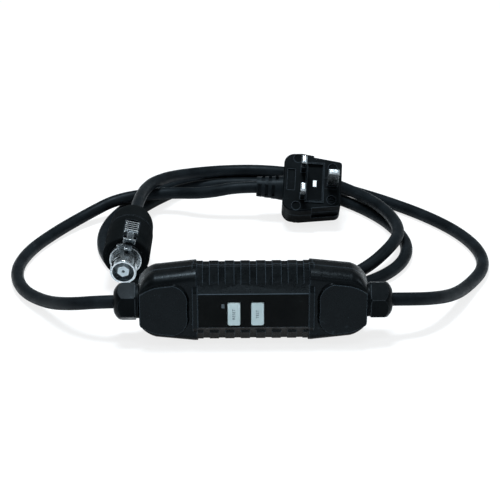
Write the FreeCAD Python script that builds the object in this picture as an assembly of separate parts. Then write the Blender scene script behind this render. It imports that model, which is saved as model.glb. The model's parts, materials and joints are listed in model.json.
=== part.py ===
import FreeCAD, Part
import math
import os

# An in-line residual-current switch box with two cable glands, lying with its own cord:
# the line cord ends in a three-pin plug and the load cord in a round metal-nosed connector.
# Millimetres, +Z up, +X along the box, the camera side is -Y. Origin: middle of the box's foot.

V = FreeCAD.Vector
X_AXIS = V(1, 0, 0)
Y_AXIS = V(0, 1, 0)
Z_AXIS = V(0, 0, 1)

# Driving sizes of the box
CENTRE_HALF_LENGTH = 38.0
BODY_HALF_LENGTH = 75.2
CENTRE_HALF_HEIGHT = 26.3
COLLAR_PROUD = 1.3
AXIS_Z = CENTRE_HALF_HEIGHT + COLLAR_PROUD
PANEL_HALF_HEIGHT = 12.1
BEVEL_HALF_HEIGHT = 16.7
PANEL_DEPTH = 15.0
BEVEL_DEPTH = 10.4
SIDE_FRONT_DEPTH = 2.9
SIDE_BACK_DEPTH = 5.5
BACK_DEPTH = 15.0
BACK_HALF_HEIGHT = 15.0
WALL = 2.6
END_BASE_DEPTH = 12.2
END_FACE_DEPTH = 14.5
END_FACE_HALF_HEIGHT = 19.3
END_FACE_INNER = CENTRE_HALF_LENGTH + 5.5
END_FACE_CORNER = 9.0
END_FACE_FLARE = 3.4
END_TIP_HALF = 12.6
END_FACE_TIP_HALF = 11.4
END_CORNER_STRETCH = 1.7
END_STEPS = 8
ROOT_CORNER = 0.6
END_WALL = 3.0
END_TAPER = 3.2
END_NOSE_LENGTH = 11.0
COLLAR_INSET = 1.6
COLLAR_WIDTH = 3.4
PAD_COUNT = 8
PAD_PITCH = 10.25
PAD_WIDTH = 6.1
PAD_CREST = 0.45
PAD_HEIGHT = 0.9
PAD_FADE = 0.88
PAD_ROOT = 1.0
GASKET_THICK = 1.2
GASKET_WIDTH = 1.4
GASKET_INSET = 0.8
CASE_SCREW_X = BODY_HALF_LENGTH - 15.2
CASE_SCREW_RISE = CENTRE_HALF_HEIGHT - 11.7
BOSS_RADIUS = 3.6
BOSS_DEPTH = END_FACE_DEPTH - 2.9
SCREW_RADIUS = 1.6
SCREW_HOLE_DEPTH = 8.0
SCREW_TIP_GAP = 0.4
SCREW_HEAD_RADIUS = 2.9
SCREW_HEAD_PROUD = 0.8
SCREW_SLOT_REACH = 1.7
SCREW_SLOT_WIDTH = 0.7
SCREW_SLOT_DEPTH = 0.5

# Button panel and buttons
PANEL_THICK = 1.2
PANEL_LENGTH = 72.0
PANEL_BED = 1.4
PANEL_SLACK = 0.1
BUTTON_WIDTH = 8.2
BUTTON_HEIGHT = 16.5
BUTTON_Z = AXIS_Z - 2.0
BUTTON_PROUD = 0.8
BUTTON_GAP = 0.3
BUTTON_CORNER = 1.2
BUTTON_EDGE = 0.35
BUTTON_RIM = 1.0
BUTTON_RIM_THICK = 1.2
RESET_X = -12.7
TEST_X = 2.7
RESET_TRAVEL = 3.0
TEST_TRAVEL = 2.0
STEM_SIDE = 4.0
STEM_END_Y = -3.0
LENS_X = -19.8
LENS_Z = AXIS_Z + 3.8
LENS_WIDTH = 2.0
LENS_HEIGHT = 3.0
LENS_FLANGE = 0.6
LENS_FLANGE_THICK = 1.0

# Inner works
BOARD_Y = 9.5
BOARD_THICK = 1.6
BOARD_HALF_LENGTH = CENTRE_HALF_LENGTH
BOARD_HALF_HEIGHT = 15.2
BOARD_POST_X = 30.0
BOARD_POST_RISE = 11.0
BOARD_POST_RADIUS = 2.6
GUIDE_Y = -5.0
GUIDE_THICK = 1.5
SPRING_WIRE = 0.8
RELAY_HALF_WIDTH = 7.4
RELAY_WALL = 1.5
RELAY_LOW = 14.0
RELAY_HIGH = 10.0
RELAY_SIDE_GAP = 0.3
LEG_HIGH = 5.0
LEG_OFFSET = 7.0
CARRIER_THICK = 2.7
CARRIER_LOW = 12.0
CARRIER_HIGH = 8.0
CONTACT_THICK = 0.8
CONTACT_BASE = 1.0
CONTACT_HALF = 1.5
CONTACT_ROWS = (-8.0, 4.0)
BRIDGE_HALF_LENGTH = 5.0
FIXED_X = 3.4
TEST_CONTACT_HALF = 2.6
CONTACT_GAP = 0.3
PLUNGER_RADIUS = 2.5
PLUNGER_LENGTH = 15.0
PLUNGER_OUT = 8.0
COIL_RADIUS = 5.6
COIL_X = 8.0
COIL_RISE = 12.0
COIL_LENGTH = 15.0
COIL_GAP = 0.4
COIL_FOOT_HALF = 3.0
TOROID_X = CASE_SCREW_X - BOSS_RADIUS - 4.1
RING_POCKET_HALF = END_FACE_DEPTH - 2.2
RING_POCKET_ROOM = 3.0
TOROID_WIDTH = 6.4
TOROID_BORE = 9.4
TERMINAL_X = BOARD_HALF_LENGTH - 5.0
TERMINAL_LENGTH = 9.0
TERMINAL_PITCH = 9.0
TERMINAL_SIDE = 7.0
CORE_RADIUS = 1.4
CORE_PITCH = 2.9

# Glands
GLAND_STUB_RADIUS = 8.0
GLAND_FLANGE_RADIUS = 11.2
GLAND_FLANGE_THICK = 1.8
GLAND_THREAD_RADIUS = 9.4
GLAND_THREAD_LENGTH = 7.0
GLAND_STUB_LENGTH = 9.0
LOCKNUT_FLATS = 18.4
LOCKNUT_THICK = 3.4
NUT_FLATS = 23.0
NUT_LENGTH = 9.8
NUT_DOME_LENGTH = 4.6
NUT_FACE_RADIUS = 7.2
NUT_TURN = 6.0
SEAL_LENGTH = 6.8
SEAL_RADIUS = GLAND_THREAD_RADIUS - 2.0
THREAD_FIT = 0.02

# Cord
CORD_RADIUS = 4.5
CORD_FLOOR = CORD_RADIUS + 0.1
CORD_START = BODY_HALF_LENGTH - 8.4
CORD_EXIT = BODY_HALF_LENGTH + 22.8
ENTRY_GAP = 0.35

# Plug
PLUG_PLACE = V(48.3, 178.0, 34.0)
PLUG_TILT = 42.0
PLUG_TURN = -4.0
PLUG_HALF_LENGTH = 22.0
PLUG_HALF_WIDTH = 24.0
PLUG_WIDEST_X = -9.0
PLUG_REAR_HALF_WIDTH = 23.0
PLUG_END_HALF_WIDTH = 19.6
PLUG_REAR_CORNER = 8.0
PLUG_END_CORNER = 4.5
PLUG_FOOT_ROUND = 3.9
PLUG_RIM_CHAMFER = 1.0
PLUG_THICK = 26.0
PLUG_COVER_THICK = 9.0
PLUG_WALL = 2.4
PIN_ROW_X = -7.0
PIN_SPACING = 22.2
PIN_LENGTH = 17.7
PIN_WIDE = 6.35
PIN_THICK = 4.0
SLEEVE_LENGTH = 9.0
SLEEVE_THICK = 0.5
PIN_ROOT = 5.0
PIN_CHAMFER = 0.9
EARTH_X = PIN_ROW_X + 22.2
EARTH_LENGTH = 22.7
EARTH_WIDE = 8.0
CARRIER_LENGTH = 30.0
CARRIER_WIDTH = 11.2
CARRIER_DEPTH = 12.0
CARRIER_SUNK = 1.5
CARRIER_X = 1.8
CARRIER_GAP = 0.3
FRAME_WIDTH = 1.2
FRAME_PROUD = 0.8
WINDOW_HALF_WIDTH = 1.3
WINDOW_HALF_LENGTH = 2.6
WINDOW_DEPTH = 1.4
NOTCH_HALF = 4.4
NOTCH_REACH = 1.6
CLIP_Y = 10.4
CLIP_HALF_WIDTH = 2.6
CLIP_HALF_LENGTH = 1.8
FUSE_RADIUS = 3.15
FUSE_LENGTH = 25.4
PLUG_SCREW_RADIUS = 3.4
PLUG_SCREW_SINK = 2.6
PLUG_HEAD_THICK = 1.6
CROSS_REACH = 1.9
CROSS_WIDTH = 0.8
CROSS_DEPTH = 0.8
PLUG_BOSS_RADIUS = 3.6
RIB_DEPTH = 6.0
HOLLOW_DEPTH = 5.6
PLUG_SHANK_RADIUS = 1.5
PLUG_SHANK_END = 16.0
PLATE_BED = (-19.0, -13.2, -6.8, 10.4)
PLATE_BED_DEPTH = 0.8
EARTH_BED = (8.9, 18.4, -4.2, 4.2)
EARTH_BED_DEPTH = 0.4
RECESS_START = 0.5
RECESS_END = 26.0
RECESS_DEPTH = 1.7
RECESS_LOW = 15.5
BOOT_LENGTH = 20.0
BOOT_ROOT_RADIUS = 9.4
BOOT_END_RADIUS = 7.4
BOOT_NECK_RADIUS = 7.6
BOOT_SLOTS = 3
BOOT_SLOT_START = 4.6
BOOT_SLOT_PITCH = 5.2
BOOT_SLOT_WIDTH = 2.4
BOOT_SLOT_HALF = 4.6
BOOT_SLOT_FLOOR = 5.3

# Connector
CONN_PLACE = V(-88.3, 50.6, 23.5)
CONN_RISE = 5.0
CONN_TURN = -3.0
CONN_ROLL = 12.0
BARREL_RADIUS = 9.2
BARREL_BORE = 7.6
BARREL_LENGTH = 36.0
NOSE_LENGTH = 15.0
STEM_RADIUS = 8.9
INSERT_START = 8.6
INSERT_LENGTH = 26.0
FLANGE_RADIUS = 11.2
FLANGE_RIM = 0.9
FLANGE_DISH = 0.8
NOSE_ROUND = 0.6
GROOVE_WIDTH = 3.0
GROOVE_END = 6.6
GROOVE_SIDE_REACH = 5.5
GROOVE_DEPTH = 0.8
FLANGE_START = NOSE_LENGTH + 0.6
TAB_HALF_WIDTH = 2.4
TAB_PROUD = 2.0
TAB_TURN = -27.0
SHELL_START = 19.5
SHELL_END = 51.0
SHELL_RADIUS = 16.4
SHELL_REAR_RADIUS = 16.2
SHELL_WALL = 3.0
RING_SUNK = 0.9
RING_WIDTH = 1.6
CAP_END = 79.0
CAP_RADIUS = 15.9
CAP_NOSE_RADIUS = 8.0
POST_FLATS = 7.6
POST_LENGTH = 15.0
LATCH_WIDTH = 9.2
LATCH_START = 26.4
LATCH_LENGTH = 14.2
LATCH_TRAVEL = 4.0
LATCH_RIDGES = 5
LATCH_RIDGE_PITCH = 2.7
LATCH_RIDGE_WIDTH = 1.5
LATCH_RIDGE_RISE = 1.1
LATCH_NECK_HALF = 2.1
LATCH_EAR_HALF = 4.2
LATCH_TONGUE_HALF = 2.5
LATCH_TONGUE_START = 10.4
LATCH_FRONT = 17.0
LATCH_SHEET = 1.4
LATCH_PAD_THICK = 1.7
LATCH_EAR_RISE = 1.6
LATCH_SLACK = 0.35
CONTACT_CIRCLE = 5.4
CONTACT_RADIUS = 1.2
CONTACT_LENGTH = 12.0


def box(x0, x1, y0, y1, z0, z1):
    return Part.makeBox(x1 - x0, y1 - y0, z1 - z0, V(x0, y0, z0))


def rod(start, direction, radius, length):
    return Part.makeCylinder(radius, length, start, direction)


def tube(start, direction, outer, inner, length):
    return rod(start, direction, outer, length).cut(rod(start, direction, inner, length))


def hexagon(start, direction, flats, length, turn=0.0):
    corner = flats / math.sqrt(3.0)
    side = V(0, 0, 1) if abs(direction.z) < 0.5 else V(1, 0, 0)
    across = direction.cross(side)
    points = []
    for i in range(7):
        angle = math.radians(60.0 * i + turn)
        points.append(start + side * (corner * math.cos(angle)) + across * (corner * math.sin(angle)))
    return Part.Face(Part.makePolygon(points)).extrude(direction * length)


def prism_x(points, x0, x1):
    ring = [V(x0, y, z) for y, z in points]
    return Part.Face(Part.makePolygon(ring + [ring[0]])).extrude(V(x1 - x0, 0, 0))


def prism_z(points, z0, z1):
    ring = [V(x, y, z0) for x, y in points]
    return Part.Face(Part.makePolygon(ring + [ring[0]])).extrude(V(0, 0, z1 - z0))


def mirrored_x(shape):
    return shape.mirror(V(0, 0, 0), X_AXIS)


def fuse_all(shapes):
    return shapes[0].multiFuse(shapes[1:]).removeSplitter()


def group(shapes):
    return Part.makeCompound(shapes)


NODES = {}


def keep(name, shape):
    NODES[name] = shape


# Box shells

def section(half_points):
    upper = [(y, AXIS_Z + z) for y, z in half_points]
    lower = [(y, AXIS_Z - z) for y, z in reversed(half_points)]
    return upper + lower


def front_section(grow=0.0):
    return [(0.0, CENTRE_HALF_HEIGHT + grow),
            (-SIDE_FRONT_DEPTH - 0.4 * grow, CENTRE_HALF_HEIGHT + grow),
            (-BEVEL_DEPTH - 0.8 * grow, BEVEL_HALF_HEIGHT + 0.7 * grow),
            (-PANEL_DEPTH - 0.2 * grow, PANEL_HALF_HEIGHT + 0.4 * grow)]


def back_section(grow=0.0):
    return [(0.0, CENTRE_HALF_HEIGHT + grow),
            (SIDE_BACK_DEPTH + 0.4 * grow, CENTRE_HALF_HEIGHT + grow),
            (BACK_DEPTH, BACK_HALF_HEIGHT + 0.7 * grow)]


def end_outline(y, inner, half, outer, corner_half, inner_corner):
    """One slice of an end, seen along the box's depth: a tapering side with rounded corners."""
    taper = END_TAPER * half / CENTRE_HALF_HEIGHT
    knee = outer - END_NOSE_LENGTH
    drop = inner_corner * END_CORNER_STRETCH
    fall = taper * inner_corner / (knee - inner)
    side = V(inner, y, AXIS_Z + half - drop)
    arch = V(inner + 0.29 * inner_corner, y, AXIS_Z + half - 0.29 * drop - 0.5 * fall)
    ridge = V(inner + inner_corner, y, AXIS_Z + half - fall)
    shoulder = V(knee, y, AXIS_Z + half - taper)
    bend = V(outer - 3.4, y, AXIS_Z + half - taper - 0.36 * (half - taper - corner_half) - 1.2)
    tip = V(outer, y, AXIS_Z + corner_half)

    def flip(p):
        return V(p.x, p.y, 2.0 * AXIS_Z - p.z)

    edges = [Part.Arc(side, arch, ridge).toShape(),
             Part.makeLine(ridge, shoulder),
             Part.Arc(shoulder, bend, tip).toShape(),
             Part.makeLine(tip, flip(tip)),
             Part.Arc(flip(tip), flip(bend), flip(shoulder)).toShape(),
             Part.makeLine(flip(shoulder), flip(ridge)),
             Part.Arc(flip(ridge), flip(arch), flip(side)).toShape(),
             Part.makeLine(flip(side), side)]
    return Part.Wire(edges)


def end_loft(slices):
    wires = [end_outline(*values) for values in slices]
    return Part.makeLoft(wires, True, True)


def rounded_slices(side_depth, full_depth, face_half, face_outer_drop):
    """Slices of an end whose long edges and tip are rounded over as a quarter of an ellipse."""
    sign = 1.0 if full_depth > 0 else -1.0
    root = CENTRE_HALF_LENGTH - 1.0
    slices = [(0.0, root, CENTRE_HALF_HEIGHT, BODY_HALF_LENGTH, END_TIP_HALF, ROOT_CORNER)]
    for i in range(END_STEPS + 1):
        turn = math.pi / 2.0 * i / END_STEPS
        y = sign * (side_depth + (abs(full_depth) - side_depth) * math.sin(turn))
        half = face_half + (CENTRE_HALF_HEIGHT - face_half) * math.cos(turn)
        outer = BODY_HALF_LENGTH - face_outer_drop * (1.0 - math.cos(turn))
        tip_half = END_FACE_TIP_HALF + (END_TIP_HALF - END_FACE_TIP_HALF) * math.cos(turn)
        slices.append((y, root, half, outer, tip_half, ROOT_CORNER))
    return slices


def front_end():
    """A rounded end with a flat raised face, arched at its two inner corners."""
    base = end_loft(rounded_slices(SIDE_FRONT_DEPTH, -END_BASE_DEPTH, END_FACE_HALF_HEIGHT + 0.5, 0.9))
    rise = END_FACE_DEPTH - END_BASE_DEPTH
    slices = []
    for i in range(END_STEPS // 2 + 1):
        turn = math.pi / 2.0 * i / (END_STEPS // 2)
        flare = END_FACE_FLARE * (1.0 - math.sin(turn))
        y = -END_BASE_DEPTH + 0.4 - (rise + 0.4) * (1.0 - math.cos(turn))
        outer = BODY_HALF_LENGTH - 1.1 + 0.1 * flare
        slices.append((y, END_FACE_INNER - flare, END_FACE_HALF_HEIGHT + 0.16 * flare, outer,
                       END_FACE_TIP_HALF + 0.1 * flare, END_FACE_CORNER))
    return base.fuse(end_loft(slices))


def back_end():
    return end_loft(rounded_slices(SIDE_BACK_DEPTH, BACK_DEPTH, CENTRE_HALF_HEIGHT - 5.6, 1.0))


def pads(section_of):
    """Raised grip pads along both long sides."""
    top, knee = section_of(PAD_CREST)[:2]
    full, low = section_of(PAD_HEIGHT)[1:3]
    fade = (full[0] + PAD_FADE * (low[0] - full[0]), full[1] + PAD_FADE * (low[1] - full[1]))
    outer = [top, knee, fade, section_of(0.0)[2]]
    inner = section_of(-PAD_ROOT)[:3]
    upper = [(y, AXIS_Z + z) for y, z in outer] + [(y, AXIS_Z + z) for y, z in reversed(inner)]
    lower = [(y, 2.0 * AXIS_Z - z) for y, z in upper]
    made = []
    for i in range(PAD_COUNT):
        x = PAD_PITCH * (i - (PAD_COUNT - 1) / 2.0)
        for outline in (upper, lower):
            made.append(prism_x(outline, x - PAD_WIDTH / 2.0, x + PAD_WIDTH / 2.0))
    return made


def collars(section_of):
    start = CENTRE_HALF_LENGTH - COLLAR_INSET
    ring = prism_x(section(section_of(COLLAR_PROUD)), start, start + COLLAR_WIDTH)
    return [ring, mirrored_x(ring)]


def cavity(depth, side_depth, wall_half):
    """The hollow of one shell, from the parting plane to depth."""
    sign = 1.0 if depth > 0 else -1.0
    half = CENTRE_HALF_HEIGHT - WALL
    length = CENTRE_HALF_LENGTH + 1.0
    centre = prism_x(section([(0.0, half), (sign * side_depth, half), (depth, wall_half)]), -length, length)
    end_depth = sign * (END_BASE_DEPTH - WALL + 0.6)
    outer = BODY_HALF_LENGTH - END_WALL
    root = CENTRE_HALF_LENGTH - 2.0
    slices = [(0.0, root, half - 1.2, outer, 10.8, ROOT_CORNER),
              (sign * side_depth, root, half - 1.2, outer, 10.8, ROOT_CORNER),
              (end_depth, root + 2.0, END_FACE_HALF_HEIGHT - 3.0, outer, 10.4, ROOT_CORNER)]
    end = end_loft(slices)
    pocket_depth = sign * (END_FACE_DEPTH - WALL)
    pocket_start = TOROID_X - TOROID_WIDTH / 2.0 - RING_POCKET_ROOM
    pocket = box(pocket_start, outer - END_NOSE_LENGTH / 2.0, min(0.0, pocket_depth),
                 max(0.0, pocket_depth), AXIS_Z - RING_POCKET_HALF, AXIS_Z + RING_POCKET_HALF)
    return centre.fuse([end, pocket, mirrored_x(end), mirrored_x(pocket)])


def case_screw_places():
    return [(side * CASE_SCREW_X, AXIS_Z + up * CASE_SCREW_RISE) for side in (-1, 1) for up in (-1, 1)]


def gland_hole():
    reach = BODY_HALF_LENGTH + 10.0
    return rod(V(-reach, 0, AXIS_Z), X_AXIS, GLAND_STUB_RADIUS, 2.0 * reach)


def gasket_ring():
    """A flat ring that follows the case joint, just outside the hollow."""
    half = CENTRE_HALF_HEIGHT - WALL + 0.5
    far = BODY_HALF_LENGTH - GASKET_INSET
    middle = 10.0
    outer_wire = end_outline(0.0, middle, half + GASKET_WIDTH, far, 12.0, ROOT_CORNER)
    inner_wire = end_outline(0.0, middle - 1.0, half, far - GASKET_WIDTH, 11.0, ROOT_CORNER)
    parts = []
    for wire, reach in ((outer_wire, half + GASKET_WIDTH), (inner_wire, half)):
        end = Part.Face(wire).extrude(V(0, GASKET_THICK, 0))
        bridge = box(-middle - 2.0, middle + 2.0, 0.0, GASKET_THICK, AXIS_Z - reach, AXIS_Z + reach)
        parts.append(end.fuse([mirrored_x(end), bridge]))
    return parts[0].cut(parts[1]).cut(gland_hole())


def lens_hole():
    return box(LENS_X - LENS_WIDTH / 2.0, LENS_X + LENS_WIDTH / 2.0, -PANEL_DEPTH - 1.0, 0.0,
               LENS_Z - LENS_HEIGHT / 2.0, LENS_Z + LENS_HEIGHT / 2.0)


def case_screw(x, z):
    shank_start = SCREW_TIP_GAP - SCREW_HOLE_DEPTH
    shank = rod(V(x, shank_start, z), Y_AXIS, SCREW_RADIUS - THREAD_FIT, BACK_DEPTH - shank_start)
    head = rod(V(x, BACK_DEPTH, z), Y_AXIS, SCREW_HEAD_RADIUS, SCREW_HEAD_PROUD)
    reach = SCREW_SLOT_REACH
    half = SCREW_SLOT_WIDTH / 2.0
    slot_end = BACK_DEPTH + SCREW_HEAD_PROUD
    slot_start = slot_end - SCREW_SLOT_DEPTH
    slot_a = box(x - reach, x + reach, slot_start, slot_end, z - half, z + half)
    slot_b = box(x - half, x + half, slot_start, slot_end, z - reach, z + reach)
    return shank.fuse(head).cut(slot_a.fuse(slot_b))


def make_shells():
    front = prism_x(section(front_section()), -CENTRE_HALF_LENGTH, CENTRE_HALF_LENGTH)
    front_cap = front_end()
    front = fuse_all([front, front_cap, mirrored_x(front_cap)]
                     + pads(front_section) + collars(front_section))
    panel_back = -PANEL_DEPTH + PANEL_THICK
    front = front.cut(cavity(panel_back + PANEL_BED, SIDE_FRONT_DEPTH, PANEL_HALF_HEIGHT + 1.0))
    front = front.cut(box(-PANEL_LENGTH / 2.0, PANEL_LENGTH / 2.0, -PANEL_DEPTH - 1.0, panel_back,
                          AXIS_Z - PANEL_HALF_HEIGHT, AXIS_Z + PANEL_HALF_HEIGHT))
    for x in (RESET_X, TEST_X):
        front = front.cut(button_hole(x))
    front = front.cut(lens_hole())
    back = prism_x(section(back_section()), -CENTRE_HALF_LENGTH, CENTRE_HALF_LENGTH)
    back_cap = back_end()
    back = fuse_all([back, back_cap, mirrored_x(back_cap)] + pads(back_section))
    back_inner = BACK_DEPTH - WALL
    back = back.cut(cavity(back_inner, SIDE_BACK_DEPTH, BACK_HALF_HEIGHT - 1.0))
    back = back.cut(gasket_ring())
    for x, z in case_screw_places():
        front = front.fuse(rod(V(x, -BOSS_DEPTH, z), Y_AXIS, BOSS_RADIUS, BOSS_DEPTH))
        back = back.fuse(rod(V(x, 0.0, z), Y_AXIS, BOSS_RADIUS, back_inner + 0.4))
    post_start = BOARD_Y + BOARD_THICK
    for x in (-BOARD_POST_X, BOARD_POST_X):
        for rise in (-BOARD_POST_RISE, BOARD_POST_RISE):
            back = back.fuse(rod(V(x, post_start, AXIS_Z + rise), Y_AXIS, BOARD_POST_RADIUS,
                                 back_inner - post_start + 0.4))
    screws = []
    for x, z in case_screw_places():
        front = front.cut(rod(V(x, -SCREW_HOLE_DEPTH, z), Y_AXIS, SCREW_RADIUS, SCREW_HOLE_DEPTH))
        back = back.cut(rod(V(x, 0.0, z), Y_AXIS, SCREW_RADIUS, BACK_DEPTH + 1.0))
        screws.append(case_screw(x, z))
    keep("front_shell", front.cut(gland_hole()).removeSplitter())
    keep("back_shell", back.cut(gland_hole()).removeSplitter())
    keep("case_gasket", gasket_ring())
    keep("case_screws", group(screws))


def button_hole(x):
    half_w = BUTTON_WIDTH / 2.0 + BUTTON_GAP
    half_h = BUTTON_HEIGHT / 2.0 + BUTTON_GAP
    return box(x - half_w, x + half_w, -PANEL_DEPTH - 5.0, -PANEL_DEPTH + 6.0,
               BUTTON_Z - half_h, BUTTON_Z + half_h)


def rim_back():
    """The depth of the back of a button's rim, which stops it against the panel's bed."""
    return -PANEL_DEPTH + PANEL_THICK + PANEL_BED + 0.1 + BUTTON_RIM_THICK


def button(x):
    top = -PANEL_DEPTH - BUTTON_PROUD
    back = rim_back()
    half_w = BUTTON_WIDTH / 2.0
    half_h = BUTTON_HEIGHT / 2.0
    cap = box(x - half_w, x + half_w, top, back, BUTTON_Z - half_h, BUTTON_Z + half_h)
    uprights = [e for e in cap.Edges if abs(e.tangentAt(e.FirstParameter).y) > 0.9]
    cap = cap.makeFillet(BUTTON_CORNER, uprights)
    face_edges = [e for e in cap.Edges if e.BoundBox.YMax < top + 0.01]
    cap = cap.makeFillet(BUTTON_EDGE, face_edges)
    rim = box(x - half_w - BUTTON_RIM, x + half_w + BUTTON_RIM, back - BUTTON_RIM_THICK, back,
              BUTTON_Z - half_h - BUTTON_RIM, BUTTON_Z + half_h + BUTTON_RIM)
    half_s = STEM_SIDE / 2.0
    stem = box(x - half_s, x + half_s, back - 0.2, STEM_END_Y, BUTTON_Z - half_s, BUTTON_Z + half_s)
    return fuse_all([cap, rim, stem])


def make_panel():
    half_length = PANEL_LENGTH / 2.0 - PANEL_SLACK
    half_height = PANEL_HALF_HEIGHT - PANEL_SLACK
    plate = box(-half_length, half_length, -PANEL_DEPTH, -PANEL_DEPTH + PANEL_THICK,
                AXIS_Z - half_height, AXIS_Z + half_height)
    for x in (RESET_X, TEST_X):
        plate = plate.cut(button_hole(x))
    keep("button_panel", plate.cut(lens_hole()))
    half_w = LENS_WIDTH / 2.0 - THREAD_FIT
    half_h = LENS_HEIGHT / 2.0 - THREAD_FIT
    wide = half_w + LENS_FLANGE
    high = half_h + LENS_FLANGE
    flange_front = -PANEL_DEPTH + PANEL_THICK + PANEL_BED
    lens = box(LENS_X - half_w, LENS_X + half_w, -PANEL_DEPTH - 0.2, flange_front + 0.4,
               LENS_Z - half_h, LENS_Z + half_h)
    flange = box(LENS_X - wide, LENS_X + wide, flange_front, flange_front + LENS_FLANGE_THICK,
                 LENS_Z - high, LENS_Z + high)
    keep("indicator_lens", lens.fuse(flange).removeSplitter())
    keep("reset_button", button(RESET_X))
    keep("test_button", button(TEST_X))
    inner = STEM_SIDE / 2.0 * math.sqrt(2.0) + 0.3
    for name, x, travel in (("reset_spring", RESET_X, RESET_TRAVEL), ("test_spring", TEST_X, TEST_TRAVEL)):
        start = rim_back() + travel + 0.3
        keep(name, tube(V(x, start, BUTTON_Z), Y_AXIS, inner + SPRING_WIRE, inner, GUIDE_Y - start))


def make_works():
    keep("circuit_board", box(-BOARD_HALF_LENGTH, BOARD_HALF_LENGTH, BOARD_Y, BOARD_Y + BOARD_THICK,
                              AXIS_Z - BOARD_HALF_HEIGHT, AXIS_Z + BOARD_HALF_HEIGHT))
    low = AXIS_Z - RELAY_LOW
    high = AXIS_Z + RELAY_HIGH
    left = RESET_X - RELAY_HALF_WIDTH
    right = TEST_X + LEG_OFFSET
    carrier_front = STEM_END_Y + CONTACT_GAP
    carrier_back = carrier_front + CARRIER_THICK
    contact_front = carrier_back + CONTACT_THICK + RESET_TRAVEL + CONTACT_GAP
    contact_back = contact_front + CONTACT_BASE
    wall_front = GUIDE_Y + GUIDE_THICK
    base = box(left, RESET_X + RELAY_HALF_WIDTH, contact_back, BOARD_Y, low, high)
    wall = box(left, left + RELAY_WALL, wall_front, contact_back, low, high)
    across = V(2.0 * RELAY_HALF_WIDTH - RELAY_WALL, 0, 0)
    leg = box(right - RELAY_WALL, right, wall_front, BOARD_Y, low, AXIS_Z + LEG_HIGH)
    keep("relay_frame", group([fuse_all([base, wall, wall.translated(across)]), leg]))
    guide = box(left, right, GUIDE_Y, wall_front, low, high)
    half = STEM_SIDE / 2.0 + BUTTON_GAP
    for x in (RESET_X, TEST_X):
        guide = guide.cut(box(x - half, x + half, GUIDE_Y - 1.0, wall_front + 1.0,
                              BUTTON_Z - half, BUTTON_Z + half))
    keep("button_guide", guide)
    inner_half = RELAY_HALF_WIDTH - RELAY_WALL - RELAY_SIDE_GAP
    keep("contact_carrier", box(RESET_X - inner_half, RESET_X + inner_half, carrier_front, carrier_back,
                                AXIS_Z - CARRIER_LOW, AXIS_Z + CARRIER_HIGH))
    bars = []
    fixed = []
    for rise in CONTACT_ROWS:
        z0 = AXIS_Z + rise - CONTACT_HALF
        z1 = AXIS_Z + rise + CONTACT_HALF
        bars.append(box(RESET_X - BRIDGE_HALF_LENGTH, RESET_X + BRIDGE_HALF_LENGTH, carrier_back,
                        carrier_back + CONTACT_THICK, z0, z1))
        for x in (RESET_X - FIXED_X, RESET_X + FIXED_X):
            fixed.append(box(x - CONTACT_HALF, x + CONTACT_HALF, contact_front, contact_back, z0, z1))
    keep("moving_contacts", group(bars))
    keep("fixed_contacts", group(fixed))
    keep("test_contact", box(TEST_X - TEST_CONTACT_HALF, TEST_X + TEST_CONTACT_HALF,
                             STEM_END_Y + TEST_TRAVEL + CONTACT_GAP, BOARD_Y,
                             BUTTON_Z - STEM_SIDE, BUTTON_Z + STEM_SIDE))
    make_trip()
    make_wiring()


def make_trip():
    """The coil that trips the switch, with its sprung plunger."""
    z = AXIS_Z + COIL_RISE
    y = BOARD_Y - COIL_RADIUS - COIL_GAP
    bore = PLUNGER_RADIUS + COIL_GAP
    winding = tube(V(COIL_X, y, z), X_AXIS, COIL_RADIUS, bore, COIL_LENGTH)
    foot = box(COIL_X, COIL_X + COIL_LENGTH, y + COIL_RADIUS - 0.8, BOARD_Y,
               z - COIL_FOOT_HALF, z + COIL_FOOT_HALF)
    keep("trip_coil", winding.fuse(foot).removeSplitter())
    plunger_start = COIL_X - PLUNGER_OUT
    plunger_end = plunger_start + PLUNGER_LENGTH
    keep("trip_plunger", rod(V(plunger_start, y, z), X_AXIS, PLUNGER_RADIUS, PLUNGER_LENGTH))
    spring_start = plunger_end + 0.6
    stop_start = COIL_X + COIL_LENGTH - 1.8
    outer = PLUNGER_RADIUS - 0.3
    spring = tube(V(spring_start, y, z), X_AXIS, outer, outer - SPRING_WIRE,
                  stop_start + 0.4 - spring_start)
    stop = rod(V(stop_start, y, z), X_AXIS, bore, 1.0)
    keep("plunger_spring", spring.fuse(stop).removeSplitter())


def make_wiring():
    """Terminals on the board, the cord's three cores to each and the ring that senses them."""
    block_end = TERMINAL_X + TERMINAL_LENGTH / 2.0
    for name, sign in (("line", -1.0), ("load", 1.0)):
        blocks = []
        cores = []
        near = min(sign * block_end, sign * CORD_START)
        limit = box(near, near + CORD_START - block_end, -BACK_DEPTH, BACK_DEPTH, 0.0, 2.0 * AXIS_Z)
        for i in (-1, 0, 1):
            z = AXIS_Z + i * TERMINAL_PITCH
            x0 = sign * TERMINAL_X - TERMINAL_LENGTH / 2.0
            blocks.append(box(x0, x0 + TERMINAL_LENGTH, BOARD_Y - TERMINAL_SIDE, BOARD_Y,
                              z - TERMINAL_SIDE / 2.0, z + TERMINAL_SIDE / 2.0))
            start = V(sign * CORD_START, 0.0, AXIS_Z + i * CORE_PITCH)
            run = V(sign * block_end, BOARD_Y - TERMINAL_SIDE / 2.0, z).sub(start)
            length = run.Length
            run.normalize()
            cores.append(rod(start, run, CORE_RADIUS, length).common(limit))
        keep(name + "_terminals", group(blocks))
        keep(name + "_cores", group(cores))
    keep("sensing_toroid", tube(V(-TOROID_X - TOROID_WIDTH / 2.0, 0.0, AXIS_Z), X_AXIS,
                                END_FACE_DEPTH - WALL - 0.2, TOROID_BORE, TOROID_WIDTH))


# Glands

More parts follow.
